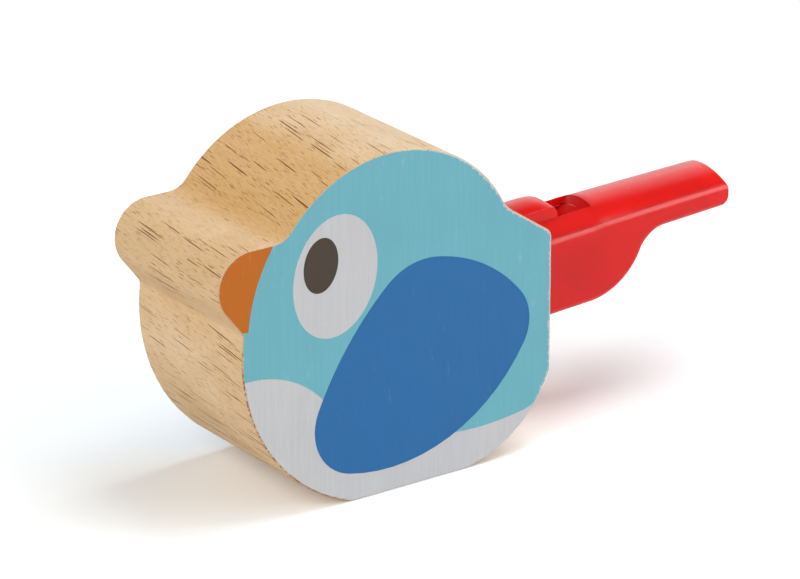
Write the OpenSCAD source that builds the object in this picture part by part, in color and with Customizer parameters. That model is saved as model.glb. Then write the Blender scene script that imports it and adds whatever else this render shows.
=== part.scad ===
// Wooden bird call: a beech block printed with a bird on both faces, and a
// plastic whistle set into its tail. Sizes are in millimetres.
// X runs from the beak to the mouthpiece, Y from the front face to the back
// face and Z up. The origin lies on the base, midway through the block, under
// the centre of the round breast.

/* [Wooden block] */
// Height of the block, from its base to the crown
body_h = 70; // [66:0.5:76]
// Thickness of the wood between its two printed faces
wood_t = 36.2; // [26:0.2:50]
// Radius of the round breast
breast_r = 36.4; // [34:0.2:39]
// How much of the breast circle the flat base takes off
base_cut = 1.7; // [0.8:0.1:3]
// Radius of the head
head_r = 30.3; // [28:0.1:32]
// Radius of the rump, between the base and the tail
rump_r = 26.1; // [24:0.1:28]
// Distance of the flat tail face from the centre of the breast
tail_x = 36.7; // [34:0.1:40]
// Height at which the tail face meets the shoulder
tail_h = 45.5; // [43:0.1:48]
// Slope of the shoulder, in degrees
shoulder_slope = 34; // [25:1:40]
// Rounding of the tail's upper corner
tail_corner_r = 2; // [0.5:0.1:4]
// Hollow between the shoulder and the head
shoulder_hollow_r = 7; // [3:0.5:10]

/* [Beak] */
// Radius of the beak's round tip
beak_r = 7.3; // [6:0.1:9]
// Hollow above the beak
brow_hollow_r = 5; // [2:0.2:7]
// Hollow below the beak
chin_hollow_r = 2.4; // [1:0.2:5]
// Slope of the beak's lower side, in degrees
beak_slope = 52; // [45:1:60]

/* [Print] */
// Thickness of the white ground coat
ground_t = 0.1; // [0.05:0.01:0.3]
// Thickness of a colour coat
colour_t = 0.1; // [0.05:0.01:0.3]
// White rim left round the colours at the block's edge
rim_w = 0.15; // [0:0.05:0.6]
// White hairline left between two colours
hairline_w = 0.16; // [0.05:0.01:0.4]
// Long axis of the eye
eye_l = 24.8; // [18:0.1:26]
// Short axis of the eye
eye_w = 19.4; // [14:0.1:20]
// Long axis of the pupil
pupil_l = 11.1; // [6:0.1:14]
// Short axis of the pupil
pupil_w = 7.9; // [5:0.1:10]

/* [Whistle] */
// Width of the whistle
whistle_w = 15.2; // [13:0.2:18]
// Height of the whistle's flat side at the chamber
side_h = 15.4; // [14.4:0.2:17]
// Reach of the mouthpiece beyond the tail face
reach = 54.7; // [48:0.2:70]
// Length of the whistle inside the wood
insert_l = 29; // [22:0.5:36]
// Wall of the plastic parts
wall = 1.5; // [1:0.1:2]
// Height at which the whistle's underside leaves the tail face
whistle_z = 22.1; // [20:0.2:23]
// Upward tilt of the whistle, in degrees
tilt = 3.2; // [0:0.1:4]
// Straight underside of the chamber outside the wood
chamber_l = 18.8; // [17:0.1:21]
// Radius of the chamber's curved front
ramp_r = 15; // [14.2:0.1:15.2]
// Hollow under the mouthpiece
throat_r = 7.3; // [5:0.1:9]
// Height of the mouthpiece's underside above the chamber's underside
mouth_rise = 12; // [11:0.1:12.4]
// Rounding of the mouthpiece's lower corner
tip_r = 2.8; // [1:0.1:3]
// Rise of the roof's arch beside the window
roof_rise = 4.4; // [3.8:0.1:4.8]
// Rise of the roof's arch at the mouth
mouth_arch = 3.3; // [2.6:0.1:3.8]
// Backward slope of the roof's end at the mouth, in degrees
mouth_slant = 16; // [0:1:25]

/* [Window and labium] */
// Width of the window
window_w = 8.2; // [7:0.1:9]
// Length of the window
window_l = 8.5; // [6:0.1:9]
// Distance of the window from the tail face
window_u = 13.4; // [12:0.1:14]
// Height of the labium block's sides above the roof
block_h = 2.5; // [1:0.1:4]
// Rise of the labium block's rounded top
block_crown = 1.5; // [0.5:0.05:2]
// Rounding of the labium block's end at the window
block_end_r = 3; // [1:0.1:4]
// Height of the lip's edge under the roof's ridge
lip_drop = 2; // [1.7:0.1:2.4]
// Length of the lip's undercut
lip_l = 3; // [1:0.1:5]
// Height of the air slot at the window
slot_h = 1.7; // [1.2:0.1:2.2]
// Thickness of the windway block at its upper edge
edge_t = 1.8; // [1:0.1:3]
// Distance of the windway block from the mouth
mouth_l = 6; // [3:0.5:12]

/* [Chamber parts] */
// Diameter of the trill ball
ball_d = 9.5; // [9.1:0.1:10.2]
// Thickness of the end plug's plate
plug_t = 2; // [1.2:0.1:3]
// Length of the end plug's spigot
spigot_l = 2.5; // [1.5:0.1:4]

/* [Fits] */
// Clearance of the whistle in the wood
pocket_fit = 0.1; // [0.05:0.05:0.3]
// Clearance between the plastic parts
part_fit = 0.05; // [0.02:0.01:0.15]
// Running clearance of the ball
ball_fit = 0.2; // [0.1:0.05:0.4]

/* [Hidden] */
$fn = 120;

// One overrun serves every cut
over = wall;

// Centres of the block's circles, as [x, z]
head_shares = [-0.053, 0];
rump_shares = [0.34, 0.37];
beak_shares = [-1.079, 0.333];
breast_c = [0, breast_r - base_cut];
head_c = [head_shares[0] * head_r, body_h - head_r];
rump_c = [rump_shares[0] * breast_r, rump_shares[1] * body_h];
beak_c = head_c + beak_shares * head_r;

// Regions of the print: shares of the head, the breast, the tail face and the height
face_shares = [0.023, -0.076];
face_r_share = 1.134;
eye_shares = [-0.441, 0.26];
pupil_shares = [-0.269, 0.234];
eye_lean = -9.7;
pupil_lean = -8;
chin_share = 0.583;
wing_corner_shares = [[-0.255, 0.234, 0.286], [0.591, 0.409, 0.26], [0.176, 0.463, 0.383]];
wing_side_shares = [1.032, 0.903, 1.805];
breast_white_shares = [-0.963, 0.115, 0.6225];
rump_white_shares = [0.519, 1.005, 0.887];
white_join_share = -0.405;

face_c = head_c + face_shares * head_r;
face_r = face_r_share * head_r;
eye_c = head_c + eye_shares * head_r;
pupil_c = eye_c + pupil_shares * eye_l / 2;
chin_z = chin_share * body_h;

// Whistle, in its own frame: u along it, v across and w up, from the tail face
half_w = whistle_w / 2;
half_window = window_w / 2;
bevel = half_w - half_window;
ridge_w = side_h + bevel;
miter = tan(22.5);
window_end = window_u + window_l;
slot_w = side_h + roof_rise - wall - slot_h;
slot_drop = roof_rise - mouth_arch;
lip_w = ridge_w - lip_drop;
block_w = ridge_w + block_h;
block_u = (block_w + block_crown) * tan(tilt) + 2 * pocket_fit;
shell_u = plug_t - insert_l;
ball_r = ball_d / 2;
ball_u = shell_u + spigot_l + ball_r + ball_fit;
ball_w = wall + ball_r + ball_fit;
ball_travel = chamber_l - ball_u;
crown_r = (half_window * half_window + block_crown * block_crown) / (2 * block_crown);

// A point at an angle on a circle
function polar(c, r, a) = c + r * [cos(a), sin(a)];
function angle_of(v) = atan2(v[1], v[0]);

// Points of an arc that runs anticlockwise from angle a to angle b
function arc_points(c, r, a, b, n) =
    let (turn = (b - a + 720) % 360)
    [for (i = [0 : n]) polar(c, r, a + turn * i / n)];

// Points of an ellipse whose long axis leans from the vertical
function ellipse_points(c, long, short, lean, n = 72) =
    [for (i = [0 : n - 1])
        let (p = [short / 2 * cos(360 * i / n), long / 2 * sin(360 * i / n)])
        c + [p[0] * cos(lean) - p[1] * sin(lean), p[0] * sin(lean) + p[1] * cos(lean)]];

// Centre of the wide arc of radius r that touches two corner circles from outside
function side_centre(a, ra, b, rb, r) =
    let (e = (b - a) / norm(b - a), d = norm(b - a),
         x = (d * d + (r - ra) * (r - ra) - (r - rb) * (r - rb)) / (2 * d),
         h = sqrt((r - ra) * (r - ra) - x * x))
    a + x * e + h * [-e[1], e[0]];

// Smooth closed outline of wide arcs between round corners, grown by g
function blob_points(corners, sides, g, n = 14) =
    let (k = len(corners),
         c = [for (q = corners) [q[0], q[1]]],
         s = [for (i = [0 : k - 1])
                 side_centre(c[i], corners[i][2], c[(i + 1) % k], corners[(i + 1) % k][2], sides[i])])
    [for (i = [0 : k - 1])
        let (before = s[(i + k - 1) % k], after = s[i], next = c[(i + 1) % k])
        for (p = concat(
            arc_points(c[i], corners[i][2] + g, angle_of(c[i] - before), angle_of(c[i] - after), n),
            arc_points(after, sides[i] + g, angle_of(c[i] - after), angle_of(next - after), n)))
        p];

// Hollow of radius f between a straight edge and a round one. The edge passes
// through p along d, with the open side at n; ahead picks the far crossing.
function hollow_centre(p, d, n, c, r, f, ahead) =
    let (q = p + f * n - c, b = q * d, h = b * b - q * q + (r + f) * (r + f))
    p + f * n + (ahead * sqrt(h) - b) * d;

// Corner that a hollow of centre o and radius f is then cut from
module web(o, n, f, c) {
    foot = o - f * n;
    polygon(cross(foot - o, c - o) > 0 ? [o, foot, c] : [o, c, foot]);
}

// Outline of the block, drawn in by i
module block_outline(i = 0) {
    brow_r = brow_hollow_r + i;
    chin_r = chin_hollow_r + i;
    nape_r = shoulder_hollow_r + i;
    beak_down = [-sin(beak_slope), -cos(beak_slope)];
    beak_run = [cos(beak_slope), -sin(beak_slope)];
    beak_top = beak_c + [0, beak_r - i];
    beak_low = beak_c + (beak_r - i) * beak_down;
    slope_up = [sin(shoulder_slope), cos(shoulder_slope)];
    slope_run = [-cos(shoulder_slope), sin(shoulder_slope)];
    corner_c = [tail_x - tail_corner_r,
        tail_h + tail_corner_r * (sin(shoulder_slope) - 1) / cos(shoulder_slope)];
    shoulder = corner_c + (tail_corner_r - i) * slope_up;
    brow = hollow_centre(beak_top, [1, 0], [0, 1], head_c, head_r - i, brow_r, -1);
    chin = hollow_centre(beak_low, beak_run, beak_down, breast_c, breast_r - i, chin_r, -1);
    nape = hollow_centre(shoulder, slope_run, slope_up, head_c, head_r - i, nape_r, -1);
    difference() {
        union() {
            intersection() {
                translate(breast_c) circle(breast_r - i);
                polygon([beak_c, [-2 * breast_r, beak_c[1]], [-2 * breast_r, -body_h],
                    [tail_x, -body_h], [tail_x, head_c[1]]]);
            }
            translate(head_c) circle(head_r - i);
            translate(rump_c) circle(rump_r - i);
            translate(beak_c) circle(beak_r - i);
            translate(corner_c) circle(max(tail_corner_r - i, tail_corner_r / 8));
            polygon([beak_c, beak_low, beak_low + beak_run * beak_r, breast_c, head_c,
                [head_c[0], beak_top[1]], beak_top]);
            polygon([rump_c, [tail_x - i, rump_c[1]], [tail_x - i, corner_c[1]], corner_c,
                shoulder, nape - nape_r * slope_up, head_c]);
            web(brow, [0, 1], brow_r, head_c);
            web(chin, beak_down, chin_r, breast_c);
            web(nape, slope_up, nape_r, head_c);
        }
        translate(brow) circle(brow_r);
        translate(chin) circle(chin_r);
        translate(nape) circle(nape_r);
        translate([-2 * body_h, i - 2 * body_h]) square([4 * body_h, 2 * body_h]);
        translate([tail_x - i, -body_h]) square([body_h, 3 * body_h]);
    }
}

// Regions of the print, each grown by g
module beak_region(g = 0) {
    difference() {
        translate([-2 * breast_r, chin_z - g]) square([2 * breast_r, body_h]);
        translate(face_c) circle(face_r - g);
    }
}

module wing_region(g = 0) {
    corners = [for (q = wing_corner_shares) [q[0] * tail_x, q[1] * body_h, q[2] * tail_x]];
    polygon(blob_points(corners, wing_side_shares * tail_x, g));
}

module belly_region() {
    join_x = white_join_share * breast_r;
    translate([breast_white_shares[0] * breast_r, breast_white_shares[1] * body_h])
        circle(breast_white_shares[2] * breast_r);
    difference() {
        translate([join_x, -breast_r]) square([tail_x - join_x + breast_r, 2 * breast_r]);
        translate([rump_white_shares[0] * tail_x, rump_white_shares[1] * body_h])
            circle(rump_white_shares[2] * body_h);
    }
}

module teal_region() {
    difference() {
        block_outline(rim_w);
        beak_region(hairline_w);
        wing_region(hairline_w);
        belly_region();
        polygon(ellipse_points(eye_c, eye_l, eye_w, eye_lean));
    }
}

// Puts a flat shape on the front (-1) or back (1) face, above what lies under it
module on_face(side, under, t) {
    translate([0, side * (wood_t / 2 + under + t / 2), 0])
        rotate([90, 0, 0]) linear_extrude(t, center = true) children();
}

module white_ground(side) {
    color([0.86, 0.86, 0.87]) on_face(side, 0, ground_t) block_outline();
}

module teal_coat(side) {
    color([0.46, 0.71, 0.76]) on_face(side, ground_t, colour_t) teal_region();
}

module beak_coat(side) {
    color([0.76, 0.42, 0.15]) on_face(side, ground_t, colour_t) intersection() {
        block_outline(rim_w);
        beak_region();
    }
}

module wing_coat(side) {
    color([0.2, 0.44, 0.65]) on_face(side, ground_t, colour_t) intersection() {
        block_outline(rim_w);
        wing_region();
    }
}

module pupil_coat(side) {
    color([0.31, 0.27, 0.23]) on_face(side, ground_t, colour_t)
        polygon(ellipse_points(pupil_c, pupil_l, pupil_w, pupil_lean));
}

// Places a piece of the whistle at the tail face, along the whistle's own axis
module in_tail() {
    translate([tail_x, 0, whistle_z]) rotate([0, -tilt, 0]) children();
}

// Extrudes a cross-section, drawn as [v, w], along the whistle from a to b
module along(a, b) {
    translate([a, 0, 0]) rotate([90, 0, 90]) linear_extrude(b - a) children();
}

// Extrudes a side view, drawn as [u, w], across the whistle by half a width each way
module across(half) {
    rotate([90, 0, 0]) linear_extrude(2 * half, center = true) children();
}

// Cross-section of the whistle's square part, drawn in by i
module whistle_section(i = 0) {
    polygon([[i - half_w, i], [half_w - i, i], [half_w - i, side_h - i * miter],
        [half_window - i * miter, ridge_w - i], [i * miter - half_window, ridge_w - i],
        [i - half_w, side_h - i * miter]]);
}

// Side view of the shell, drawn in by i and open at the top, with its mouth's
// lower corner rounded to radius r
module shell_profile(i, rear, front, top, r = 0) {
    ramp_c = [chamber_l, ramp_r];
    mouth_floor = [chamber_l, mouth_rise + i];
    round_c = [front - r, mouth_floor[1] + r];
    throat = hollow_centre(mouth_floor, [1, 0], [0, -1], ramp_c, ramp_r - i, throat_r + i, 1);
    difference() {
        union() {
            translate([rear, i]) square([chamber_l - rear, top - i]);
            intersection() {
                translate(ramp_c) circle(ramp_r - i);
                translate([chamber_l, 0]) square([2 * ramp_r, top]);
            }
            translate(mouth_floor) square([round_c[0] - chamber_l, top - mouth_floor[1]]);
            if (r > 0) {
                translate(round_c) square([r, top - round_c[1]]);
                intersection() {
                    translate(round_c) circle(r);
                    translate(round_c - [0, r]) square(r);
                }
            }
            web(throat, [0, -1], throat_r + i, ramp_c);
        }
        translate(throat) circle(throat_r + i);
    }
}

// Round roof between the window and the mouth, drawn in by i
module roof_arch(i) {
    near_r = (half_w * half_w + roof_rise * roof_rise) / (2 * roof_rise);
    far_r = (half_w * half_w + mouth_arch * mouth_arch) / (2 * mouth_arch);
    near = [window_end, side_h + roof_rise - near_r];
    far = [reach, side_h + mouth_arch - far_r];
    lean = atan2(near[1] - far[1], far[0] - near[0]);
    length = norm(far - near);
    growth = (far_r - near_r) / length;
    translate([near[0], 0, near[1]]) rotate([0, 90 + lean, 0])
        translate([0, 0, -over]) cylinder(h = length + 2 * over,
            r1 = near_r - i - growth * over, r2 = far_r - i + growth * over);
}

module wood_body() {
    color([0.84, 0.7, 0.52]) difference() {
        rotate([90, 0, 0]) linear_extrude(wood_t, center = true) block_outline();
        in_tail() along(-insert_l - pocket_fit, side_h) whistle_section(-pocket_fit);
    }
}

module whistle_shell() {
    color([0.85, 0.14, 0.13]) in_tail() difference() {
        across(half_w) shell_profile(0, shell_u, reach, side_h, tip_r);
        across(half_w - wall) shell_profile(wall, shell_u - over, reach + over, side_h + over);
    }
}

module whistle_cover() {
    color([0.88, 0.17, 0.16]) in_tail() difference() {
        union() {
            intersection() {
                along(shell_u, window_end) whistle_section();
                translate([shell_u, -half_w, side_h])
                    cube([window_end - shell_u, whistle_w, ridge_w]);
            }
            intersection() {
                roof_arch(0);
                across(half_w) polygon([[window_end, side_h], [reach, side_h],
                    [reach - ridge_w * tan(mouth_slant), side_h + ridge_w],
                    [window_end, side_h + ridge_w]]);
            }
        }
        along(shell_u - over, window_end) whistle_section(wall);
        roof_arch(wall);
        translate([block_u - pocket_fit, -half_window, lip_w - over])
            cube([window_end - block_u + pocket_fit, window_w, ridge_w]);
    }
}

module labium_block() {
    half = half_window - part_fit;
    end_c = [window_u - block_end_r, block_w + block_crown - block_end_r];
    lip_rise = lip_drop - wall;
    color([0.9, 0.2, 0.19]) in_tail() intersection() {
        across(half) difference() {
            union() {
                translate([block_u, lip_w]) square([end_c[0] - block_u, block_w + block_crown - lip_w]);
                translate([end_c[0], lip_w]) square([block_end_r, end_c[1] - lip_w]);
                translate(end_c) circle(block_end_r);
            }
            polygon([[window_u, lip_w], [window_u - lip_l, lip_w + lip_rise],
                [block_u - over, lip_w + lip_rise], [block_u - over, 0]]);
        }
        along(0, window_u) union() {
            translate([-half, 0]) square([2 * half, block_w]);
            translate([0, block_w + block_crown - crown_r]) circle(crown_r);
        }
    }
}

module windway_block() {
    half = half_w - wall - part_fit;
    rear = reach - mouth_l;
    seat = wall + part_fit;
    top_w = side_h - part_fit;
    color([0.83, 0.13, 0.12]) in_tail() {
        across(half) intersection() {
            shell_profile(seat, shell_u, rear, top_w);
            polygon([[window_end, side_h], [window_end, slot_w - edge_t],
                [chamber_l + ramp_r, mouth_rise - ramp_r / 2], [rear, 0], [rear, side_h]]);
        }
        across(half_window - part_fit)
            polygon([[window_end, top_w], [rear, top_w], [rear, slot_w - slot_drop],
                [window_end, slot_w]]);
    }
}

module end_plug() {
    color([0.8, 0.12, 0.11]) in_tail() {
        along(-insert_l, shell_u) whistle_section();
        along(shell_u, shell_u + spigot_l) whistle_section(wall + part_fit);
    }
}

module trill_ball() {
    color([0.93, 0.88, 0.7]) in_tail() translate([ball_u, 0, ball_w]) sphere(ball_r);
}

wood_body();
white_ground(-1);  // front_white_ground
teal_coat(-1);  // front_teal_coat
beak_coat(-1);  // front_beak_coat
wing_coat(-1);  // front_wing_coat
pupil_coat(-1);  // front_pupil_coat
white_ground(1);  // back_white_ground
teal_coat(1);  // back_teal_coat
beak_coat(1);  // back_beak_coat
wing_coat(1);  // back_wing_coat
pupil_coat(1);  // back_pupil_coat
whistle_shell();
whistle_cover();
labium_block();
windway_block();
end_plug();
trill_ball();
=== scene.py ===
import math
import bmesh
import bpy
from mathutils import Matrix, Vector, noise
from mathutils.bvhtree import BVHTree


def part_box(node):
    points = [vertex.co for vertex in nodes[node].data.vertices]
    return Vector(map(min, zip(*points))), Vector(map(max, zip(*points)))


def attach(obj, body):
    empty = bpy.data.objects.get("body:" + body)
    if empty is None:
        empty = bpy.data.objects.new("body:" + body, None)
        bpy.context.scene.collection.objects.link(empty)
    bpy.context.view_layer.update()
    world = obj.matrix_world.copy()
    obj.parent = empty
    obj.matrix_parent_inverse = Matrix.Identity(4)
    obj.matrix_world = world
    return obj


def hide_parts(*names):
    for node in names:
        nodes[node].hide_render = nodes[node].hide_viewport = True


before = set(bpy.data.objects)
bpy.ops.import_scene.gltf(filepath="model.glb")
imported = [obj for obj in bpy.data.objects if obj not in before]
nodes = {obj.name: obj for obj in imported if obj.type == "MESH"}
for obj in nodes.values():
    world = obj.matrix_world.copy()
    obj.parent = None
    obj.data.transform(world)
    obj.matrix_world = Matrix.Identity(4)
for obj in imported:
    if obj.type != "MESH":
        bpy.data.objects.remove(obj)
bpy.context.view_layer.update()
mm = 0.001
touch = 0.01 * mm  # places nearer to each other than this are one place
weld = 0.001 * mm


# Shader values

class Wire:  # a socket of a material, so that shader maths reads as Python
    def __init__(self, tree, socket=None):
        self.tree = tree
        self.socket = socket

    def node(self, kind, settings=None, sockets=None, output=0):
        made = self.tree.nodes.new("ShaderNode" + kind)
        for name, value in (settings or {}).items():
            setattr(made, name, value)
        for name, value in (sockets or {}).items():
            if isinstance(value, Wire):
                self.tree.links.new(value.socket, made.inputs[name])
            else:
                made.inputs[name].default_value = value
        return Wire(self.tree, made.outputs[output])

    def out(self, name):
        return Wire(self.tree, self.socket.node.outputs[name])

    def maths(self, operation, first, second=0.0):
        return self.node("Math", {"operation": operation}, {0: first, 1: second})

    def __add__(self, other):
        return self.maths("ADD", self, other)

    def __radd__(self, other):
        return self.maths("ADD", other, self)

    def __sub__(self, other):
        return self.maths("SUBTRACT", self, other)

    def __rsub__(self, other):
        return self.maths("SUBTRACT", other, self)

    def __mul__(self, other):
        return self.maths("MULTIPLY", self, other)

    def __truediv__(self, other):
        return self.maths("DIVIDE", self, other)

    def __abs__(self):
        return self.maths("ABSOLUTE", self)


def tint(red, green, blue):  # an sRGB colour, 0 to 255, as the shader wants it
    linear = []
    for level in (red, green, blue):
        level /= 255
        linear.append(level / 12.92 if level <= 0.04045 else ((level + 0.055) / 1.055) ** 2.4)
    return (*linear, 1.0)


def fade(value, start, end):  # 0 at start, 1 at end, soft in between
    return value.node("MapRange", {"interpolation_type": "SMOOTHSTEP"},
                      {"Value": value, "From Min": start, "From Max": end})


def blendColour(factor, first, second):
    return factor.node("Mix", {"data_type": "RGBA"}, {0: factor, 6: first, 7: second}, output=2)


def stretch(place, size, shift=(0.0, 0.0, 0.0)):  # pattern space whose unit is size, in metres
    return place.node("Mapping", None,
                      {"Vector": place, "Scale": [1 / length for length in size], "Location": shift})


def cloud(place, size, detail=2.0, rough=0.5, shift=(0.0, 0.0, 0.0)):
    return place.node("TexNoise", None, {"Vector": stretch(place, size, shift), "Scale": 1.0,
                                         "Detail": detail, "Roughness": rough})


def cells(place, size, shift=(0.0, 0.0, 0.0)):
    return place.node("TexVoronoi", None, {"Vector": stretch(place, size, shift), "Scale": 1.0})


def newMaterial(name, **constants):
    material = bpy.data.materials.new(name)
    material.use_nodes = True
    shader = material.node_tree.nodes["Principled BSDF"]
    for socket, value in constants.items():
        shader.inputs[socket.replace("_", " ")].default_value = value
    wire = Wire(material.node_tree)
    return material, shader, wire, wire.node("TexCoord", output="Object")


def feed(shader, socket, wire):
    wire.tree.links.new(wire.socket, shader.inputs[socket])


def feedBump(shader, height, depth):
    feed(shader, "Normal", height.node("Bump", None, {"Height": height, "Distance": depth}))


# Beech

beechLook = {
    "pale": tint(235, 205, 166),
    "warm": tint(223, 187, 140),
    "tan": tint(214, 166, 98),
    # painted highlight: paler wood for the crown, where the top of the head faces the light
    "crownHighlight": tint(240, 224, 198),
    "flush": tint(198, 146, 108),
    "fleck": tint(116, 50, 20),
    "dash": tint(150, 88, 46),
    "arris": tint(158, 92, 48),
    # white ink on the base arris, brighter than the ink: painted glow from the floor's bounce
    "whiteArrisGlow": tint(226, 222, 216),
    "centre": (2 * mm, 0.0, 36 * mm),
    "twist": -3.6,
    "beakCentre": (-35 * mm, 0.0, 50 * mm),
    "beakTwist": -13.0,
    "beakZone": ((-40 * mm, 50.5 * mm), 10 * mm),
    "fleckCell": (0.52 * mm, 18 * mm, 0.52 * mm),
    "dashCell": (0.38 * mm, 4.6 * mm, 0.38 * mm),
    "poreCell": (0.27 * mm, 2.0 * mm, 0.27 * mm),
    "tanShadeZone": ((-17 * mm, 59 * mm), 15 * mm),
    "smoothZones": (((-31.2 * mm, 57.6 * mm), 7.0 * mm), ((-36.8 * mm, 41.6 * mm), 3.6 * mm),
                    ((10.0 * mm, 67.0 * mm), 15.0 * mm)),
    "tanShadeShare": 0.68,
    "beakShare": 0.6,
    "crownHighlightShare": 0.35,
    "flushShare": 0.08,
    "smoothFlush": 0.3,
    "darkFibre": 0.34,
    "paleFibre": 0.3,
    "sway": 0.3 * mm,
    "depth": 0.05 * mm,
    "edgeReach": (17.75 * mm, 18.05 * mm),
    "lowHeight": (42 * mm, 34 * mm),
    "lowLength": (2 * mm, -8 * mm),
    "baseHeight": (1.1 * mm, 0.4 * mm),
    "nickCell": 0.7 * mm,
}


def spindles(place, cell, reach, share, shift):  # slim pointed marks, in a share of the cells
    found = cells(place, cell, shift)
    dice = found.node("SeparateXYZ", None, {0: found.out("Color")})
    mark = fade(found / (reach * 0.6 + dice * (reach * 0.4)), 1.0, 0.7)
    return mark * fade(dice.out("Y") - share, 0.02, -0.02) * (0.6 + dice.out("Z") * 0.4)


def beech():
    look = beechLook
    material, shader, wire, place = newMaterial("beech", IOR=1.45, Specular_IOR_Level=0.12)
    x, y, z = [wire.node("SeparateXYZ", None, {0: place}, output=axis) for axis in range(3)]

    def twisted(centre, twist):  # the marks lean a little off the y axis, within the sawn edge
        return wire.node("VectorRotate", {"rotation_type": "AXIS_ANGLE"},
                         {"Vector": place, "Center": centre, "Axis": (0.0, 1.0, 0.0),
                          "Angle": y * twist})

    def around(zone, core=0.55):  # 1 within a round patch of the outline
        (zoneX, zoneZ), reach = zone
        away = wire.node("VectorMath", {"operation": "DISTANCE"},
                         {0: wire.node("CombineXYZ", None, {0: x, 2: z}), 1: (zoneX, 0.0, zoneZ)},
                         output="Value")
        return fade(away, reach, core * reach)

    leaning = blendColour(around(look["beakZone"], 0.97), twisted(look["centre"], look["twist"]),
                          twisted(look["beakCentre"], look["beakTwist"]))
    sway = cloud(place, (9 * mm, 18 * mm, 9 * mm), shift=(3.1, 0.0, 5.2)).out("Color")
    swayed = wire.node("VectorMath", {"operation": "MULTIPLY_ADD"},
                       {0: sway, 1: (look["sway"], 0.0, look["sway"]), 2: leaning})

    # Brow, chin and crown, where the marks nearly vanish
    brow, chin, crown = [around(zone) for zone in look["smoothZones"]]
    smooth = wire.maths("MAXIMUM", wire.maths("MAXIMUM", brow, chin), crown)

    tone = cloud(swayed, (10 * mm, 16 * mm, 10 * mm), 3.0)
    colour = blendColour(fade(tone, 0.25, 0.75), look["warm"], look["pale"])
    # deeper tan on the head's upper-left slope: partly the wood's own tone, partly painted shade that
    # darkens the lit top of the head
    colour = blendColour(around(look["tanShadeZone"]) * look["tanShadeShare"], colour, look["tan"])
    colour = blendColour(around(look["beakZone"]) * look["beakShare"], colour, look["warm"])
    # pale patch on the crown: a painted highlight where the top of the head faces the light
    colour = blendColour(crown * look["crownHighlightShare"], colour, look["crownHighlight"])
    blush = cloud(place, (2.6 * mm, 4 * mm, 2.6 * mm), 3.0, shift=(8.0, 1.0, 2.0))
    flushed = look["flushShare"] + smooth * look["smoothFlush"]
    colour = blendColour(fade(blush, 0.55, 0.75) * flushed, colour, look["flush"])
    fibre = cloud(swayed, (0.24 * mm, 3 * mm, 0.24 * mm), 3.0, 0.6)
    colour = blendColour(fade(fibre, 0.5, 0.74) * look["darkFibre"], colour, look["dash"])
    colour = blendColour(fade(fibre, 0.5, 0.28) * look["paleFibre"], colour, look["pale"])

    crowd = cloud(place, (7 * mm, 12 * mm, 7 * mm), 1.0, shift=(0.4, 7.0, 3.0))
    share = fade(crowd, 0.2, 0.5) * (1 - smooth * 0.95)
    pore = spindles(swayed, look["poreCell"], 0.28, 0.6, (1.7, 0.3, 0.9))
    dash = spindles(swayed, look["dashCell"], 0.28, 0.12 + share * 0.7, (5.7, 2.3, 0.4))
    fleck = spindles(swayed, look["fleckCell"], 0.34, 0.06 + share * 0.74, (0.0, 0.0, 0.0))
    colour = blendColour(pore * (0.55 - smooth * 0.4), colour, look["dash"])
    colour = blendColour(dash * 0.85, colour, look["dash"])
    colour = blendColour(fleck * 0.95, colour, look["fleck"])

    # reddish-brown along the lower-left arris beside the print: rough torn edge wood, with painted
    # shade in its nicks
    nearFace = fade(abs(y), *look["edgeReach"])
    nick = cloud(place, [look["nickCell"]] * 3, 2.0)
    low = fade(z, *look["lowHeight"]) * fade(x, *look["lowLength"])
    colour = blendColour(nearFace * low * fade(nick, 0.4, 0.58) * 0.9, colour, look["arris"])
    # near-white strip along the base arris beside the print: white ink on the edge, made brighter as
    # a painted glow from the floor below
    litBaseArris = nearFace * fade(z, *look["baseHeight"]) * fade(nick, 0.3, 0.5)
    colour = blendColour(litBaseArris, colour, look["whiteArrisGlow"])

    feed(shader, "Base Color", colour)
    feed(shader, "Roughness", 0.6 + fleck * 0.2 + fibre * 0.08)
    feedBump(shader, fibre * 0.3 - fleck - dash * 0.6 - pore * 0.4, look["depth"])
    return material


# Printing inks

inkLook = {
    "streak": (0.3 * mm, 4 * mm, 11 * mm),
    "scuff": (0.9 * mm, 4 * mm, 3.5 * mm),
    "speckCell": 2.1 * mm,
    "skinCell": 0.22 * mm,
    "chalk": tint(214, 220, 222),
    "contrast": 0.32,
    "scuffShare": 0.2,
    "lightShare": 0.75,
    "darkShare": 0.45,
    "depth": 0.02 * mm,
}


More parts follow.
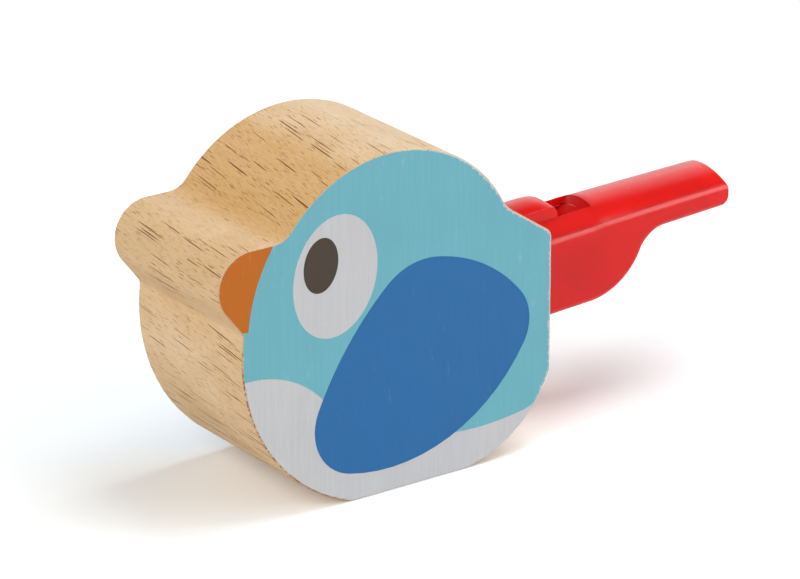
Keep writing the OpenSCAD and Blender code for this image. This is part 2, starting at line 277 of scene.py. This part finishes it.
def ink(name, red, green, blue, streaky=1.0, worn=1.0):
    look = inkLook
    material, shader, wire, place = newMaterial(name, IOR=1.45, Specular_IOR_Level=0.25)
    streaks = cloud(place, look["streak"], 3.0, 0.65)
    drift = cloud(place, (9 * mm, 9 * mm, 14 * mm), 2.0, shift=(4.0, 2.0, 0.5))
    darker = tint(red * 0.98, green * 0.98, blue * 0.98)
    lighter = tint(min(red * 1.015 + 1, 255), min(green * 1.015 + 1, 255), min(blue * 1.015 + 1, 255))
    spread = look["contrast"] / streaky
    streaking = fade(streaks + (drift - 0.5) * 0.5, 0.5 - spread, 0.5 + spread)
    colour = blendColour(streaking, darker, lighter)
    scuffs = cloud(place, look["scuff"], 2.0, 0.5, (7.0, 0.0, 3.3))
    scuffZone = cloud(place, (10 * mm, 10 * mm, 16 * mm), 1.0, shift=(0.6, 0.0, 0.2))
    scuff = fade(scuffs, 0.62, 0.78) * fade(scuffZone, 0.45, 0.62)
    colour = blendColour(scuff * look["scuffShare"] * worn, colour, look["chalk"])
    specks = cells(place, [look["speckCell"]] * 3)
    dice = wire.node("SeparateXYZ", None, {0: specks.out("Color")})
    speck = fade(specks / (0.035 + dice * 0.06), 1.0, 0.5)
    lightSpeck = speck * fade(dice.out("Y"), 0.7, 0.72)
    darkSpeck = speck * fade(dice.out("Y"), 0.16, 0.14)
    colour = blendColour(lightSpeck * look["lightShare"], colour, look["chalk"])
    shadow = tint(red * 0.55, green * 0.55, blue * 0.55)
    colour = blendColour(darkSpeck * look["darkShare"], colour, shadow)
    feed(shader, "Base Color", colour)
    feed(shader, "Roughness", 0.4 + streaks * 0.16 + scuff * 0.1)
    skin = cloud(place, [look["skinCell"]] * 3, 2.0)
    feedBump(shader, streaks * 0.3 + skin * 0.12 + lightSpeck * 0.8 - darkSpeck, look["depth"])
    return material


# Moulded plastic

plasticLook = {
    "shadeCell": 11 * mm,
    "dustCell": 2.6 * mm,
    "skinCell": 0.7 * mm,
    "dust": tint(236, 160, 150),
    "dustShare": 0.6,
    "depth": 0.008 * mm,
}


def mouldedPlastic(name, base, roughness):
    look = plasticLook
    material, shader, wire, place = newMaterial(name, IOR=1.5, Specular_IOR_Level=0.27,
                                               Subsurface_Weight=0.5, Subsurface_Scale=3 * mm,
                                               Sheen_Weight=0.3, Sheen_Roughness=0.3)
    shade = cloud(place, [look["shadeCell"]] * 3, 2.0)
    red, green, blue = base
    colour = blendColour(fade(shade, 0.3, 0.7), tint(red * 0.97, green * 0.9, blue * 0.9),
                         tint(min(red * 1.02, 255), green, blue))
    dust = cells(place, [look["dustCell"]] * 3, (0.2, 0.7, 0.4))
    dice = wire.node("SeparateXYZ", None, {0: dust.out("Color")})
    mote = fade(dust / (0.03 + dice * 0.05), 1.0, 0.5) * fade(dice.out("Y"), 0.9, 0.92)
    feed(shader, "Base Color", blendColour(mote * look["dustShare"], colour, look["dust"]))
    skin = cloud(place, [look["skinCell"]] * 3, 2.0)
    feed(shader, "Roughness", roughness + shade * 0.06 + skin * 0.05)
    feedBump(shader, skin * 0.35 + mote, look["depth"])
    return material


beechWood = beech()
whiteInk = ink("whiteInk", 202, 202, 204)
tealInk = ink("tealInk", 111, 180, 193)
orangeInk = ink("orangeInk", 194, 104, 22, 0.7, 0.4)
blueInk = ink("blueInk", 39, 107, 165, 0.8, 0.2)
brownInk = ink("brownInk", 69, 57, 46, 0.6, 0.0)
redPlastic = mouldedPlastic("redPlastic", (225, 17, 12), 0.24)
ballPlastic = mouldedPlastic("ballPlastic", (238, 226, 182), 0.42)
print("materials made")


# Building

def cadCopy(node, holed=None):  # a CAD node's shape as a merged mesh, flat faces without holes whole
    mesh = bmesh.new()
    mesh.from_mesh(nodes[node].data)
    bmesh.ops.remove_doubles(mesh, verts=mesh.verts, dist=weld)
    mesh.normal_update()
    edges = [edge for edge in mesh.edges
             if not holed or min(face.normal.dot(holed) for face in edge.link_faces) < 0.999]
    bmesh.ops.dissolve_limit(mesh, angle_limit=math.radians(0.3), verts=mesh.verts, edges=edges)
    return mesh


def shadeFlat(piece):  # a flat face keeps its own normal beside a rounded edge
    steady = piece.modifiers.new("flatShading", "WEIGHTED_NORMAL")
    steady.keep_sharp = True


def addPiece(mesh, name, material, stands, body="call", sharp=34, soften=0.0, segments=3):
    data = bpy.data.meshes.new(name)
    mesh.to_mesh(data)
    mesh.free()
    for face in data.polygons:
        face.use_smooth = True
    data.set_sharp_from_angle(angle=math.radians(sharp))
    data.materials.append(material)
    piece = bpy.data.objects.new(name, data)
    bpy.context.scene.collection.objects.link(piece)
    if soften:
        bevel = piece.modifiers.new("softEdges", "BEVEL")
        bevel.width = soften
        bevel.segments = segments
        bevel.limit_method = "ANGLE"
        bevel.angle_limit = math.radians(sharp)
        bevel.harden_normals = False
        shadeFlat(piece)
    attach(piece, body)
    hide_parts(*stands)
    return piece


def applied(piece):  # the piece's mesh with its modifiers in it, as a new bmesh
    seen = piece.evaluated_get(bpy.context.evaluated_depsgraph_get())
    mesh = bmesh.new()
    mesh.from_mesh(seen.to_mesh())
    seen.to_mesh_clear()
    return mesh


# Block

block = {
    "arris": 0.2 * mm,
    "arrisSteps": 2,
    "faceFrom": 18 * mm,
    "middle": 35 * mm,
    "grain": 0.35 * mm,
    "nick": 0.08 * mm,
    "nickPitch": 0.55 * mm,
    "nickRough": 1.3,
    "nickFine": 0.6,
    "nickFrom": 0.12,
}


def cutFine(mesh, edges, pitch):  # cuts each edge into pieces of about one pitch
    groups = {}
    for edge in edges:
        groups.setdefault(round(edge.calc_length() / pitch) - 1, []).append(edge)
    for cuts, group in groups.items():
        if cuts > 0:
            bmesh.ops.subdivide_edges(mesh, edges=group, cuts=cuts, use_grid_fill=True)


def arrisWear(x, z):  # how far the worn arris draws in at a place on the outline
    rough = noise.noise(Vector((x, 0.0, z)) / block["nickPitch"])
    fine = noise.noise(Vector((z, 9 * mm, x)) / (0.4 * block["nickPitch"]))
    worn = rough * block["nickRough"] + fine * block["nickFine"] - block["nickFrom"]
    return block["nick"] * max(0.0, worn)


def beechBlock():
    mesh = cadCopy("wood_body", Vector((1.0, 0.0, 0.0)))
    rim = [edge for edge in mesh.edges
           if len(edge.link_faces) == 2
           and max(abs(face.normal.y) for face in edge.link_faces) > 0.9
           and min(abs(face.normal.y) for face in edge.link_faces) < 0.1
           and min(abs(vert.co.y) for vert in edge.verts) > block["faceFrom"]]
    bmesh.ops.bevel(mesh, geom=rim, offset=block["arris"], segments=block["arrisSteps"],
                    profile=0.5, affect="EDGES", material=-1)
    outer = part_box("wood_body")[1].y - 1.5 * block["arris"]
    band = [edge for edge in mesh.edges
            if min(abs(vert.co.y) for vert in edge.verts) > outer
            and abs(edge.verts[0].co.y - edge.verts[1].co.y) < touch]
    cutFine(mesh, band, block["grain"])
    middle = Vector((0.0, 0.0, block["middle"]))
    for vert in mesh.verts:
        if abs(vert.co.y) > outer:
            away = Vector((vert.co.x, 0.0, vert.co.z)) - middle
            vert.co -= away.normalized() * arrisWear(vert.co.x, vert.co.z)
    shadeFlat(addPiece(mesh, "beechBlock", beechWood, ["wood_body"]))


def outlineTree():  # the block's edge line, to find how near a point of the print lies
    mesh = cadCopy("front_white_ground")
    bmesh.ops.delete(mesh, geom=[face for face in mesh.faces if abs(face.normal.y) > 0.5],
                     context="FACES")
    tree = BVHTree.FromBMesh(mesh)
    mesh.free()
    return tree


# Print

chips = {
    "near": 0.22 * mm,
    "ground": 0.12 * mm,
    "colour": 0.46 * mm,
    "bare": 0.45,
    "rough": 1.3,
    "fine": 0.7,
    "patch": 3 * mm,
    "patchFrom": 0.2,
    "patchDepth": 1.6,
    "sheltered": 0.15,
    "facing": 1.2,
    "under": 0.16 * mm,
    "underFrom": 0.3,
    "pitch": 0.6 * mm,
    "finePitch": 0.35,
    "film": 0.03 * mm,
    "draw": 0.1 * mm,
    "spread": 0.15 * mm,
}


def printCoat(node, name, material, outline, depth, spread):
    mesh = cadCopy(node)
    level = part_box("front_white_ground")[0].y / 2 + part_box("wood_body")[0].y / 2

    def edgeAt(vert):
        spot, normal, _, gap = outline.find_nearest(Vector((vert.co.x, level, vert.co.z)))
        return (spot, normal) if gap < chips["near"] else None

    rim = [edge for edge in mesh.edges
           if abs(edge.verts[0].co.y - edge.verts[1].co.y) < touch
           and any(abs(face.normal.y) < 0.5 for face in edge.link_faces)
           and edgeAt(edge.verts[0]) and edgeAt(edge.verts[1])]
    cutFine(mesh, rim, block["grain"])
    mesh.normal_update()
    under = abs(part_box("front_white_ground")[0].y)
    film = chips["film"] * (1.5 if spread else 1)
    for vert in mesh.verts:
        if abs(vert.co.y) > under + film:
            vert.co.y = math.copysign(under + film, vert.co.y)
        found = edgeAt(vert)
        if found:
            spot, normal = found
            rough = noise.noise(Vector((spot.x, 0.0, spot.z)) / chips["pitch"])
            finePitch = chips["finePitch"] * chips["pitch"]
            fine = noise.noise(Vector((spot.z, 0.0, spot.x)) / finePitch)
            exposed = min(1.0, max(0.0, chips["sheltered"] + chips["facing"] * normal.x))
            ragged = max(0.0, chips["rough"] * rough + chips["fine"] * fine)
            chip = depth * exposed * (chips["bare"] + ragged)
            patch = noise.noise(Vector((spot.z, 5 * mm, spot.x)) / chips["patch"])
            flaked = max(0.0, patch - chips["patchFrom"]) * max(0.0, 0.5 + fine)
            chip += chips["patchDepth"] * depth * flaked
            if node.endswith("ground") and normal.x < chips["underFrom"]:
                chip += chips["under"]
            vert.co -= normal * (chip + chips["draw"] + arrisWear(spot.x, spot.z))
        elif spread:
            outward = Vector((vert.normal.x, 0.0, vert.normal.z))
            if outward.length > 0.1:
                vert.co += outward.normalized() * spread
    return addPiece(mesh, name, material, [node])


coats = (
    ("white_ground", "Ground", whiteInk, "white_print", chips["ground"], 0.0),
    ("teal_coat", "Teal", tealInk, "teal_print", chips["colour"], 0.0),
    ("beak_coat", "Beak", orangeInk, "orange_print", 0.3 * chips["colour"], chips["spread"]),
    ("wing_coat", "Wing", blueInk, "blue_print", 0.0, chips["spread"]),
    ("pupil_coat", "Pupil", brownInk, "brown_print", 0.0, 0.0),
)

beechBlock()
edgeLine = outlineTree()
for side in ("front", "back"):
    for node, name, material, slot, depth, spread in coats:
        printCoat(f"{side}_{node}", side + name, material, edgeLine, depth, spread)
print("block and print built")


# Whistle

whistle = {
    "halfWidth": 7.6 * mm,
    "rear": -27.0 * mm,
    "reach": 54.65 * mm,
    "wall": 1.4 * mm,
    "side": 15.4 * mm,
    "ridge": 18.9 * mm,
    "halfWindow": 4.1 * mm,
    "windowStart": 1.4 * mm,
    "windowEnd": 21.9 * mm,
    "archRise": 4.4 * mm,
    "mouthRise": 3.3 * mm,
    "chamber": 18.8 * mm,
    "rampRadius": 15.0 * mm,
    "throatRadius": 7.3 * mm,
    "mouthFloor": 11.5 * mm,
    "tipRadius": 2.8 * mm,
    "slant": math.radians(16),
    "tilt": math.radians(3.2),
    "foot": 22.1 * mm,
    "topFillet": 2.0 * mm,
    "lowFillet": 1.45 * mm,
    "breakLean": 1.4 * mm,
    "breakReach": 5 * mm,
    "breakWidth": 3.4 * mm,
    "breakAhead": 0.6667,
    "breakSteps": 6,
    "trimFrom": 49.0 * mm,
    "sag": 0.4 * mm,
    "sagRun": 3 * mm,
    "skirt": 3.9 * mm,
    "nose": math.radians(40),
    "rampTop": (0.05 * mm, -0.02 * mm),
    "rampHeel": 0.4 * mm,
    "endCuts": 4,
    "soften": 0.12 * mm,
    "straight": (-14 * mm, -3 * mm, 0.0, 6 * mm, 12 * mm, 17 * mm),
    "rampSteps": 14,
    "throatSteps": 10,
    "mouthFrom": 1.5 * mm,
    "mouthSteps": 10,
    "cornerSteps": 6,
    "sideSteps": 4,
    "filletSteps": 7,
    "roofSteps": 6,
}
inTail = (Matrix.Translation((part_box("wood_body")[1].x, 0.0, whistle["foot"]))
          @ Matrix.Rotation(-whistle["tilt"], 4, "Y"))


def throatCentre():
    shape = whistle
    drop = shape["rampRadius"] - shape["mouthFloor"] + shape["throatRadius"]
    span = shape["rampRadius"] + shape["throatRadius"]
    along = math.sqrt(span ** 2 - drop ** 2)
    return shape["chamber"] + along, shape["mouthFloor"] - shape["throatRadius"]


def underside(u):  # height and slope of the whistle's underside at a distance u from the wood
    shape = whistle
    throatU, throatW = throatCentre()
    share = shape["rampRadius"] / (shape["rampRadius"] + shape["throatRadius"])
    meetU = shape["chamber"] + (throatU - shape["chamber"]) * share
    if u <= shape["chamber"]:
        return 0.0, 0.0
    if u <= meetU:
        along = u - shape["chamber"]
        drop = math.sqrt(shape["rampRadius"] ** 2 - along ** 2)
        return shape["rampRadius"] - drop, along / drop
    if u <= throatU:
        along = throatU - u
        drop = math.sqrt(shape["throatRadius"] ** 2 - along ** 2)
        return throatW + drop, along / drop
    return shape["mouthFloor"], 0.0


def stations():  # the distances u from the wood at which the whistle has a section
    shape = whistle
    throatU, _ = throatCentre()
    turn = math.atan2(throatU - shape["chamber"],
                      shape["rampRadius"] - shape["mouthFloor"] + shape["throatRadius"])
    places = [shape["rear"], shape["windowStart"], *shape["straight"]]
    steps = shape["rampSteps"]
    places += [shape["chamber"] + shape["rampRadius"] * math.sin(turn * k / steps)
               for k in range(steps + 1)]
    steps = shape["throatSteps"]
    places += [throatU - shape["throatRadius"] * math.sin(turn * (1 - k / steps))
               for k in range(1, steps + 1)]
    steps = shape["breakSteps"]
    places += [shape["windowEnd"] + shape["breakWidth"] * (k / steps - shape["breakAhead"])
               for k in range(steps + 1)]
    steps = shape["mouthSteps"]
    start = throatU + shape["mouthFrom"]
    places += [start + (shape["reach"] - start) * k / steps for k in range(steps + 1)]
    return sorted(places)


def roofLine(u):  # centre height and radius of the roof's arch
    shape = whistle
    half = shape["halfWidth"]

    def arc(rise):
        radius = (half ** 2 + rise ** 2) / (2 * rise)
        return shape["side"] + rise - radius, radius

    near, far = arc(shape["archRise"]), arc(shape["mouthRise"])
    share = max(0.0, (u - shape["windowEnd"]) / (shape["reach"] - shape["windowEnd"]))
    return near[0] + (far[0] - near[0]) * share, near[1] + (far[1] - near[1]) * share


def section(u):  # half of the outline at u: side, then fillet, then roof, as lists of (v, w)
    shape = whistle
    half, fillet = shape["halfWidth"], shape["topFillet"]
    low, slope = underside(u)
    low -= shape["sag"] * min(1.0, max(0.0, 1 + u / shape["sagRun"]))
    lift = shape["lowFillet"] * math.sqrt(1 + slope ** 2)
    centreW, radius = roofLine(u)
    share = (u - shape["windowEnd"]) / shape["breakWidth"] + shape["breakAhead"]
    share = min(1.0, max(0.0, share))
    arched = share ** 2 * (3 - 2 * share)  # 0 where the roof has facets, 1 where it is round
    inner = half - fillet
    archW = centreW + math.sqrt((radius - fillet) ** 2 - inner ** 2)
    facetW = shape["side"] - fillet * math.tan(math.pi / 8)
    filletW = facetW + (archW - facetW) * arched
    turn = math.pi / 4 + (math.atan2(archW - centreW, inner) - math.pi / 4) * arched
    lower = [(0.0, low), (0.35 * half, low), (0.7 * half, low)]
    steps = shape["cornerSteps"]
    for k in range(steps + 1):
        angle = math.pi / 2 * k / steps
        inset = shape["lowFillet"] * (1 - math.sin(angle))
        lower.append((half - inset, low + lift * (1 - math.cos(angle))))
    top = lower[-1][1]
    steps = shape["sideSteps"]
    for k in range(1, steps):
        lower.append((half, top + (filletW - top) * k / steps))
    steps = shape["filletSteps"]
    for k in range(steps + 1):
        angle = turn * k / steps
        lower.append((inner + fillet * math.cos(angle), filletW + fillet * math.sin(angle)))
    upper = [lower[-1]]
    startV, startW = upper[0]
    window, steps = shape["halfWindow"], shape["roofSteps"]
    across = [startV + (window - startV) * k / steps for k in range(1, steps + 1)]
    across += [window * k / steps for k in reversed(range(steps))]
    for v in across:
        roof = centreW + math.sqrt(radius ** 2 - v ** 2)
        facet = min(startW + startV - v, shape["ridge"])
        upper.append((v, facet + (roof - facet) * arched))
    return lower, upper


def skin(part):  # the outside of the shell (0) or the cover (1), one row of points a station
    shape = whistle
    mesh = bmesh.new()
    previous = []
    for u in stations():
        half = section(u)[part]
        if part == 0:
            row = [(-v, w) for v, w in reversed(half[1:])] + half
        else:
            row = half + [(-v, w) for v, w in reversed(half[:-1])]
        points = []
        beside = shape["halfWidth"] - shape["halfWindow"]
        for v, w in row:
            outside = max(0.0, abs(v) - shape["halfWindow"]) / beside
            nearBreak = max(0.0, 1 - abs(u - shape["windowEnd"]) / shape["breakReach"])
            shift = shape["breakLean"] * outside * nearBreak if part == 1 else 0.0
            points.append(mesh.verts.new((u + shift, v, w)))
        for k in range(len(points) - 1):
            if previous:
                mesh.faces.new((previous[k], previous[k + 1], points[k + 1], points[k]))
        previous = points
    if part == 1:
        inWindow = []
        for face in mesh.faces:
            centre = face.calc_center_median()
            along = shape["windowStart"] < centre.x < shape["windowEnd"]
            if along and abs(centre.y) < shape["halfWindow"]:
                inWindow.append(face)
        bmesh.ops.delete(mesh, geom=inWindow, context="FACES")
        sides = [edge for edge in mesh.edges
                 if edge.is_boundary
                 and all(abs(abs(vert.co.y) - shape["halfWindow"]) < touch for vert in edge.verts)]
        for vert in bmesh.ops.extrude_edge_only(mesh, edges=sides)["geom"]:
            if isinstance(vert, bmesh.types.BMVert):
                vert.co.z -= shape["skirt"]
    bmesh.ops.recalc_face_normals(mesh, faces=mesh.faces)
    return mesh


def mouthEnd(w):  # where the mouthpiece ends at a height w
    shape = whistle
    roundW = shape["mouthFloor"] - shape["sag"] + shape["tipRadius"]
    if w < roundW:
        drop = min(roundW - w, shape["tipRadius"])
        return shape["reach"] - shape["tipRadius"] + math.sqrt(shape["tipRadius"] ** 2 - drop ** 2)
    return shape["reach"] - max(0.0, w - shape["side"]) * math.tan(shape["slant"])


def windowRamp(mesh):  # under the roof's end at the window, sloping on into the windway's nose
    shape = whistle
    run = shape["wall"] / math.tan(shape["nose"])
    half = section(shape["windowEnd"])[1][shape["roofSteps"]:]
    corners = (shape["rampTop"], (shape["rampHeel"], -shape["wall"]), (-run, -shape["wall"]))
    rows = []
    for v, w in half + [(-v, w) for v, w in reversed(half[:-1])]:
        rows.append([mesh.verts.new((shape["windowEnd"] + du, v, w + dw)) for du, dw in corners])
    faces = [mesh.faces.new(rows[0]), mesh.faces.new(rows[-1])]
    for first, second in zip(rows, rows[1:]):
        for k in range(3):
            faces.append(mesh.faces.new((first[k], first[k - 1], second[k - 1], second[k])))
    bmesh.ops.recalc_face_normals(mesh, faces=faces)


def walled(mesh, name, stands, isCover):  # the skin with its wall, its mouth end cut to shape
    shape = whistle
    upward = 1 if isCover else -1
    outermost = max(mesh.faces, key=lambda face: face.calc_center_median().z * upward)
    if (outermost.normal.z > 0) != isCover:
        bmesh.ops.reverse_faces(mesh, faces=mesh.faces)
    data = bpy.data.meshes.new(name + "Skin")
    mesh.to_mesh(data)
    mesh.free()
    rough = bpy.data.objects.new(name + "Skin", data)
    bpy.context.scene.collection.objects.link(rough)
    wall = rough.modifiers.new("wall", "SOLIDIFY")
    wall.thickness = shape["wall"]
    wall.offset = -1
    wall.use_even_offset = True
    solid = applied(rough)
    bpy.data.objects.remove(rough)
    ends = [edge for edge in solid.edges
            if min(vert.co.x for vert in edge.verts) > shape["reach"] - touch
            and abs(edge.calc_length() - shape["wall"]) < 0.5 * shape["wall"]]
    if isCover:
        windowRamp(solid)
    bmesh.ops.subdivide_edges(solid, edges=ends, cuts=shape["endCuts"], use_grid_fill=True)
    for vert in solid.verts:
        if vert.co.x > shape["trimFrom"]:
            share = (vert.co.x - shape["trimFrom"]) / (shape["reach"] - shape["trimFrom"])
            vert.co.x = shape["trimFrom"] + share * (mouthEnd(vert.co.z) - shape["trimFrom"])
    bmesh.ops.transform(solid, matrix=inTail, verts=solid.verts)
    return addPiece(solid, name, redPlastic, stands, soften=shape["soften"],
                    segments=2)


lip = {
    "start": 1.5 * mm,
    "end": 13.4 * mm,
    "half": 4.05 * mm,
    "side": 21.4 * mm,
    "crown": 1.45 * mm,
    "crownEnds": 7.5 * mm,
    "corner": 1.9 * mm,
    "foot": 17.4 * mm,
    "edge": 16.9 * mm,
    "undercut": 3.0 * mm,
    "soften": 0.36 * mm,
    "lengthwise": 30,
    "crosswise": 20,
}


def lipBlock():  # a flat grid bent over the block's domed top and upright end, then given sides
    mesh = bmesh.new()
    bmesh.ops.create_grid(mesh, x_segments=lip["lengthwise"], y_segments=lip["crosswise"], size=1.0)
    straight = lip["end"] - lip["corner"] - lip["start"]
    length = straight + lip["corner"] * math.pi / 2
    for vert in mesh.verts:
        along = length * (vert.co.x + 1) / 2
        side = vert.co.y
        turn = max(0.0, along - straight) / lip["corner"]
        u = lip["start"] + min(along, straight) + lip["corner"] * math.sin(turn)
        drop = lip["corner"] * (1 - math.cos(turn))
        fall = max(0.0, u - lip["crownEnds"]) / (lip["end"] - lip["crownEnds"])
        rise = lip["crown"] * (1 - fall ** 2) * (1 - side ** 2)
        vert.co = (u, lip["half"] * side, lip["side"] - drop + rise)
    border = [edge for edge in mesh.edges if edge.is_boundary]
    made = bmesh.ops.extrude_edge_only(mesh, edges=border)["geom"]
    for vert in made:
        if isinstance(vert, bmesh.types.BMVert):
            share = min(1.0, (lip["end"] - vert.co.x) / lip["undercut"])
            vert.co.z = lip["edge"] + (lip["foot"] - lip["edge"]) * share
    bmesh.ops.holes_fill(mesh, edges=[edge for edge in mesh.edges if edge.is_boundary], sides=0)
    bmesh.ops.recalc_face_normals(mesh, faces=mesh.faces)
    bmesh.ops.transform(mesh, matrix=inTail, verts=mesh.verts)
    return addPiece(mesh, "lipBlock", redPlastic, ["labium_block"],
                    soften=lip["soften"])


windway = {
    "slotMouth": 0.5 * mm,
    "slotWindow": 0.12 * mm,
    "tip": 13.7 * mm,
    "bed": 13.65 * mm,
    "sink": 0.9 * mm,
    "cuts": 9,
    "half": 4.05 * mm,
    "atEnd": 0.1 * mm,
    "soften": 0.15 * mm,
}


def windwayBlock():  # its nose slopes down from the slot and its top follows the roof
    mesh = cadCopy("windway_block")
    bmesh.ops.transform(mesh, matrix=inTail.inverted(), verts=mesh.verts)
    for k in range(windway["cuts"]):
        v = windway["half"] * (2 * (k + 1) / (windway["cuts"] + 1) - 1)
        bmesh.ops.bisect_plane(mesh, geom=[*mesh.verts, *mesh.edges, *mesh.faces],
                               plane_co=(0.0, v, 0.0), plane_no=(0.0, 1.0, 0.0))
    front = min(vert.co.x for vert in mesh.verts)
    foot = min(vert.co.z for vert in mesh.verts if vert.co.x < front + windway["atEnd"])
    ridge = sum(roofLine(front)) - whistle["wall"] - windway["slotWindow"]
    slope = math.tan(whistle["nose"])
    for vert in mesh.verts:
        centreW, radius = roofLine(vert.co.x)
        inside = radius - whistle["wall"]
        share = (vert.co.x - front) / (whistle["reach"] - front)
        slot = windway["slotWindow"] + (windway["slotMouth"] - windway["slotWindow"]) * share
        roof = centreW + math.sqrt(inside ** 2 - vert.co.y ** 2) - slot
        atFront = vert.co.x < front + windway["atEnd"]
        if vert.co.z > whistle["side"] and abs(vert.co.y) < windway["half"] + touch:
            vert.co.z = max(vert.co.z, roof)
            vert.co.x -= whistle["wall"] / slope if atFront else 0.0
        elif atFront:
            if vert.co.z < foot + windway["atEnd"]:
                vert.co.z = windway["tip"]
            vert.co.x -= (whistle["wall"] + ridge - vert.co.z) / slope
        elif vert.co.z < windway["bed"]:
            vert.co.z -= windway["sink"]
    bmesh.ops.transform(mesh, matrix=inTail, verts=mesh.verts)
    return addPiece(mesh, "windwayBlock", redPlastic, ["windway_block"],
                    soften=windway["soften"])


walled(skin(0), "whistleShell", ["whistle_shell"], False)
walled(skin(1), "whistleCover", ["whistle_cover"], True)
lipBlock()
windwayBlock()
addPiece(cadCopy("end_plug"), "endPlug", redPlastic, ["end_plug"], soften=0.2 * mm)
print("whistle built")


# Ball

ball = {"sides": 48, "rings": 24, "seam": 0.06 * mm}


def trillBall():
    low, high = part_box("trill_ball")
    radius = (high.y - low.y) / 2
    mesh = bmesh.new()
    bmesh.ops.create_uvsphere(mesh, u_segments=ball["sides"], v_segments=ball["rings"], radius=radius)
    equator = [edge for edge in mesh.edges if max(abs(vert.co.z) for vert in edge.verts) < touch]
    made = bmesh.ops.bevel(mesh, geom=equator, offset=2 * ball["seam"], segments=2, profile=0.5,
                           affect="EDGES", material=-1)
    for vert in made["verts"]:
        if abs(vert.co.z) < touch:
            vert.co -= vert.co.normalized() * ball["seam"]
    bmesh.ops.translate(mesh, vec=(low + high) / 2, verts=mesh.verts)
    return addPiece(mesh, "trillBall", ballPlastic, ["trill_ball"], body="ball")


trillBall()
print("ball built")


# Floor, light and camera

studio = {
    "azimuth": math.radians(-35.6),
    "elevation": math.radians(21.2),
    "distance": 860 * mm,
    "aim": Vector((0.0, -18.3 * mm, 41.6 * mm)),
    "lens": 201.6,
    "sensor": 36.0,
    "horizon": 0.9,
    "zenith": 0.1,
    "horizonTop": 0.05,
    "zenithFrom": 0.75,
    "bounced": (0.72, 0.72, 0.715, 1.0),
    "pictured": (1.23, 1.27, 1.29, 1.0),
    "glowFrom": 0.25,
    "glowTo": 1.0,
    "floorHalf": 6.0,
    "clip": (10 * mm, 20.0),
}

lamps = (  # name, place, size, radiance, aim, whether it lights or is only mirrored
    ("keyLight", (0.38, -0.1, 1.1), (0.7, 0.7), 3.72, (0.0, 0.0, 0.03), True),
    ("frontLight", (0.6, -0.8, 0.55), (0.9, 0.9), 1.67, (0.02, 0.0, 0.04), True),
    ("leftLight", (-0.95, -0.3, 0.7), (0.8, 0.8), 3.15, (0.0, 0.0, 0.04), True),
    ("glintLight", (0.656, -0.781, 0.412), (0.18, 0.8), 13.0, (0.02, 0.0, 0.04), False),
    ("washLight", (0.6, 0.75, 0.75), (0.9, 0.95), 1.65, (0.03, 0.0, 0.04), False),
)


def floorMaterial():
    material, shader, wire, place = newMaterial("paleFloor", Roughness=0.9, Specular_IOR_Level=0.0)
    rays = wire.node("LightPath")
    seen = wire.maths("MAXIMUM", rays.out("Is Camera Ray"), rays.out("Is Glossy Ray"))
    feed(shader, "Base Color", blendColour(seen, studio["bounced"], studio["pictured"]))
    away = wire.node("VectorMath", {"operation": "LENGTH"}, {0: place}, output="Value")
    glow = fade(away, studio["glowFrom"], studio["glowTo"])
    feed(shader, "Emission Color", wire.node("CombineXYZ", None, {k: seen * glow for k in range(3)}))
    shader.inputs["Emission Strength"].default_value = 1.0
    return material


def softBox(name, place, size, radiance, towards, lights):
    data = bpy.data.lights.new(name, "AREA")
    data.shape = "RECTANGLE"
    data.size, data.size_y = size
    data.energy = radiance * math.pi * size[0] * size[1]
    lamp = bpy.data.objects.new(name, data)
    lamp.location = place
    lamp.visible_diffuse = lights
    lamp.visible_glossy = not lights
    lamp.rotation_euler = (Vector(towards) - Vector(place)).to_track_quat("-Z", "Y").to_euler()
    bpy.context.scene.collection.objects.link(lamp)


def buildStudio():
    scene = bpy.context.scene
    mesh = bmesh.new()
    bmesh.ops.create_grid(mesh, x_segments=1, y_segments=1, size=studio["floorHalf"])
    data = bpy.data.meshes.new("floor")
    mesh.to_mesh(data)
    mesh.free()
    data.materials.append(floorMaterial())
    floor = bpy.data.objects.new("floor", data)
    scene.collection.objects.link(floor)

    world = bpy.data.worlds.new("paleRoom")
    scene.world = world
    world.use_nodes = True
    wire = Wire(world.node_tree)
    rays = wire.node("LightPath")
    seen = wire.maths("MAXIMUM", rays.out("Is Camera Ray"), rays.out("Is Transmission Ray"))
    height = wire.node("SeparateXYZ", None, {0: wire.node("TexCoord", output="Generated")}, output=2)
    upward = fade(height, studio["horizonTop"], studio["zenithFrom"])
    room = studio["horizon"] + upward * (studio["zenith"] - studio["horizon"])
    strength = seen + (1 - seen) * room
    background = world.node_tree.nodes["Background"]
    background.inputs["Color"].default_value = (1.0, 1.0, 1.0, 1.0)
    world.node_tree.links.new(strength.socket, background.inputs["Strength"])

    for lamp in lamps:
        softBox(*lamp)

    camera = bpy.data.objects.new("camera", bpy.data.cameras.new("camera"))
    camera.data.lens = studio["lens"]
    camera.data.sensor_width = studio["sensor"]
    turn, rise = studio["azimuth"], studio["elevation"]
    back = Vector((math.sin(turn) * math.cos(rise), -math.cos(turn) * math.cos(rise), math.sin(rise)))
    camera.location = studio["aim"] + studio["distance"] * back
    camera.rotation_euler = (-back).to_track_quat("-Z", "Y").to_euler()
    camera.data.clip_start, camera.data.clip_end = studio["clip"]
    scene.collection.objects.link(camera)
    scene.camera = camera
    scene.view_settings.view_transform = "Standard"


buildStudio()
print("studio built")
